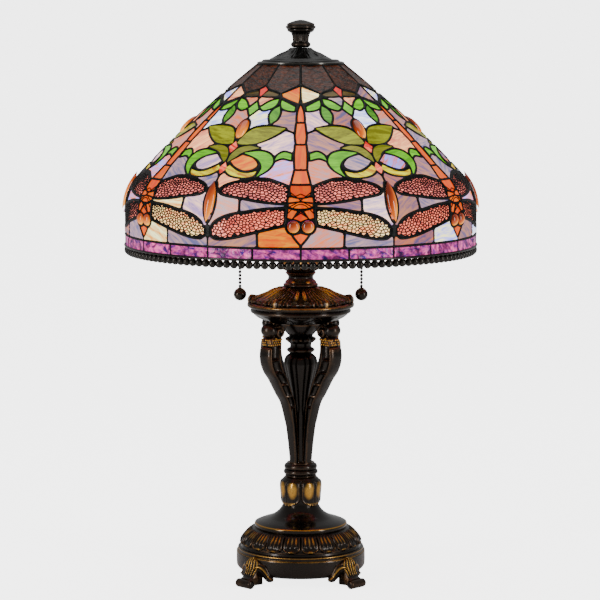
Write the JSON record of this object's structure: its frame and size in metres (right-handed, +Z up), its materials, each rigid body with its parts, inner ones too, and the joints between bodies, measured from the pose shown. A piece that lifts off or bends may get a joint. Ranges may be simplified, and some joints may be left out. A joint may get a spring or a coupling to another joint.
{
  "type": "table lamp",
  "caption": "Table lamp with a domed leaded glass shade, a scrolled bronze column on a footed round base, pull chains and a bead fringe.",
  "frame": {"origin": "on the floor, centred under the threaded pipe", "axes": "+Z up along the lamp axis, -Y towards the viewer, +X to the viewer's right"},
  "size_m": [0.4186, 0.4186, 0.6686],
  "materials": {
    "antique_bronze": "antique bronze patina with rubbed gold edges",
    "felt_cover": "black felt faced cover",
    "black_rubber": "matt",
    "zinc_steel": "zinc plated",
    "aged_brass": "aged brass",
    "nickel_shell": "nickel plated",
    "frosted_bulb": "frosted warm white, lit",
    "ripple_glass": "dark brown rippled art glass",
    "opalescent_glass": "opalescent art glass in amber, cream, green and pink",
    "rim_glass": "purple rippled art glass",
    "patina_lead": "dark patina solder"
  },
  "bodies": {
    "root": {"base_plinth": "antique_bronze", "foot_front_left": "antique_bronze", "foot_front_right": "antique_bronze", "foot_back_left": "antique_bronze", "foot_back_right": "antique_bronze", "bell_neck": "antique_bronze", "petal_collar": "antique_bronze", "ring_moulding": "antique_bronze", "baluster": "antique_bronze", "scroll_arm_front_left": "antique_bronze", "scroll_arm_front_right": "antique_bronze", "scroll_arm_back_left": "antique_bronze", "scroll_arm_back_right": "antique_bronze", "capital_plate": "antique_bronze", "acanthus_dome": "antique_bronze", "neck_ring": "antique_bronze", "bud_cup": "antique_bronze", "base_cover_plate": "felt_cover", "cord_inlet_bush": "black_rubber", "threaded_pipe": "zinc_steel", "base_washer": "zinc_steel", "base_lock_nut": "zinc_steel", "cluster_body": "aged_brass", "spider_nut": "aged_brass", "socket_arm_left": "aged_brass", "socket_shell_left": "aged_brass", "pull_guide_left": "aged_brass", "screw_shell_left": "nickel_shell", "socket_arm_right": "aged_brass", "socket_shell_right": "aged_brass", "pull_guide_right": "aged_brass", "screw_shell_right": "nickel_shell"},
    "spider": {"shade_spider": "aged_brass"},
    "shade": {"crown_glass_1": "ripple_glass", "crown_glass_2": "ripple_glass", "crown_glass_3": "ripple_glass", "crown_glass_4": "ripple_glass", "crown_glass_5": "ripple_glass", "crown_glass_6": "ripple_glass", "body_glass_1": "opalescent_glass", "body_glass_2": "opalescent_glass", "body_glass_3": "opalescent_glass", "body_glass_4": "opalescent_glass", "body_glass_5": "opalescent_glass", "body_glass_6": "opalescent_glass", "rim_glass": "rim_glass", "lead_frame": "patina_lead", "bead_fringe": "patina_lead", "shade_cap": "antique_bronze"},
    "finial": {"finial": "antique_bronze"},
    "bulb_left": {"bulb_base_left": "nickel_shell", "bulb_glass_left": "frosted_bulb"},
    "pull_link_left": {"pull_link_left": "aged_brass"},
    "pull_chain_left": {"pull_chain_left": "aged_brass", "pull_ball_left": "antique_bronze"},
    "bulb_right": {"bulb_base_right": "nickel_shell", "bulb_glass_right": "frosted_bulb"},
    "pull_link_right": {"pull_link_right": "aged_brass"},
    "pull_chain_right": {"pull_chain_right": "aged_brass", "pull_ball_right": "antique_bronze"}
  },
  "joints": [
    {"name": "shade_turn", "type": "hinge", "parent": "root", "child": "spider", "pos_m": [0, 0, 0.611], "axis": [0, 0, 1], "continuous": true},
    {"name": "shade_lift", "type": "slide", "parent": "spider", "child": "shade", "axis": [0, 0, 1], "range_m": [0, 0.25]},
    {"name": "finial_turn", "type": "hinge", "parent": "shade", "child": "finial", "pos_m": [0, 0, 0.64], "axis": [0, 0, 1], "continuous": true},
    {"name": "bulb_left_turn", "type": "hinge", "parent": "root", "child": "bulb_left", "pos_m": [-0.045, 0, 0.47], "axis": [0, 0, 1], "continuous": true},
    {"name": "pull_left", "type": "slide", "parent": "root", "child": "pull_link_left", "axis": [0, 0, -1], "range_m": [0, 0.008], "stiffness_N_per_m": 500, "springref_m": -0.012},
    {"name": "chain_left_swing", "type": "hinge", "parent": "pull_link_left", "child": "pull_chain_left", "pos_m": [-0.0725, 0, 0.4228], "axis": [1, 0, 0], "range_deg": [-30, 30]},
    {"name": "bulb_right_turn", "type": "hinge", "parent": "root", "child": "bulb_right", "pos_m": [0.045, 0, 0.47], "axis": [0, 0, 1], "continuous": true},
    {"name": "pull_right", "type": "slide", "parent": "root", "child": "pull_link_right", "axis": [0, 0, -1], "range_m": [0, 0.008], "stiffness_N_per_m": 500, "springref_m": -0.012},
    {"name": "chain_right_swing", "type": "hinge", "parent": "pull_link_right", "child": "pull_chain_right", "pos_m": [0.0725, 0, 0.4228], "axis": [1, 0, 0], "range_deg": [-30, 30]}
  ]
}
